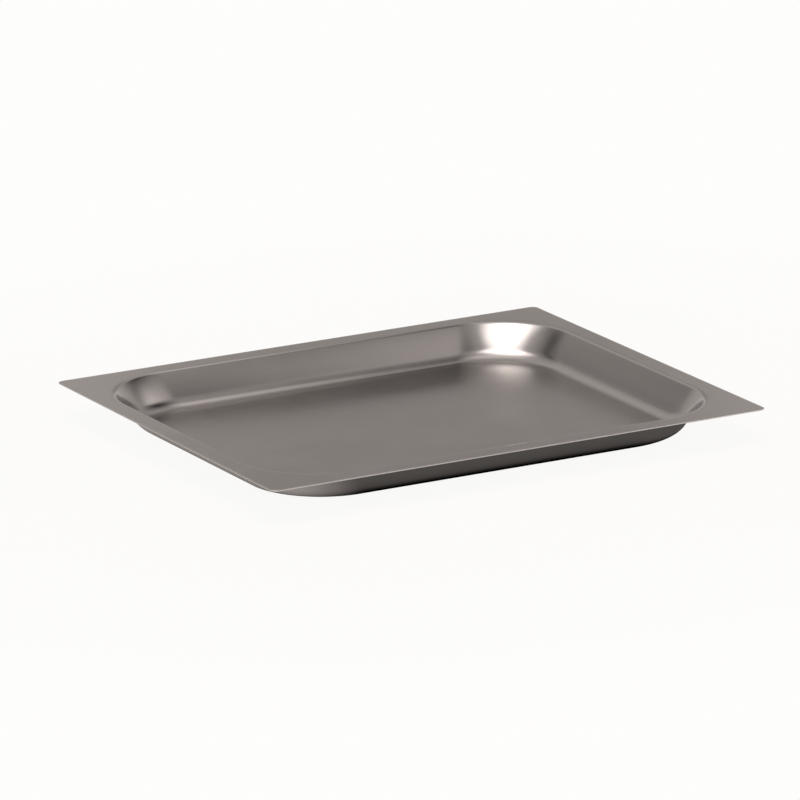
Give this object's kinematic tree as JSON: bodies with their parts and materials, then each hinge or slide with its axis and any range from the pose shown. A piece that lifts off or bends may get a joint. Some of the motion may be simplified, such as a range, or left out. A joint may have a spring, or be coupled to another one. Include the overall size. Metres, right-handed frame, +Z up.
{
  "type": "shallow rectangular tray",
  "caption": "Shallow rectangular tray pressed from one sheet of satin stainless steel, with leaning walls, large rounded corners and a flat rim to rest in a frame or on rails.",
  "frame": {"origin": "middle of the floor's underside, on the plane the tray stands on", "axes": "+X along the long side, +Y along the short side, +Z up out of the tray"},
  "size_m": [0.325, 0.265, 0.02],
  "materials": {
    "satin_steel": "satin, as rolled, with fine scratches on the floor and a brighter bare edge"
  },
  "bodies": {
    "root": {"pressed_tray": "satin_steel"}
  },
  "joints": []
}
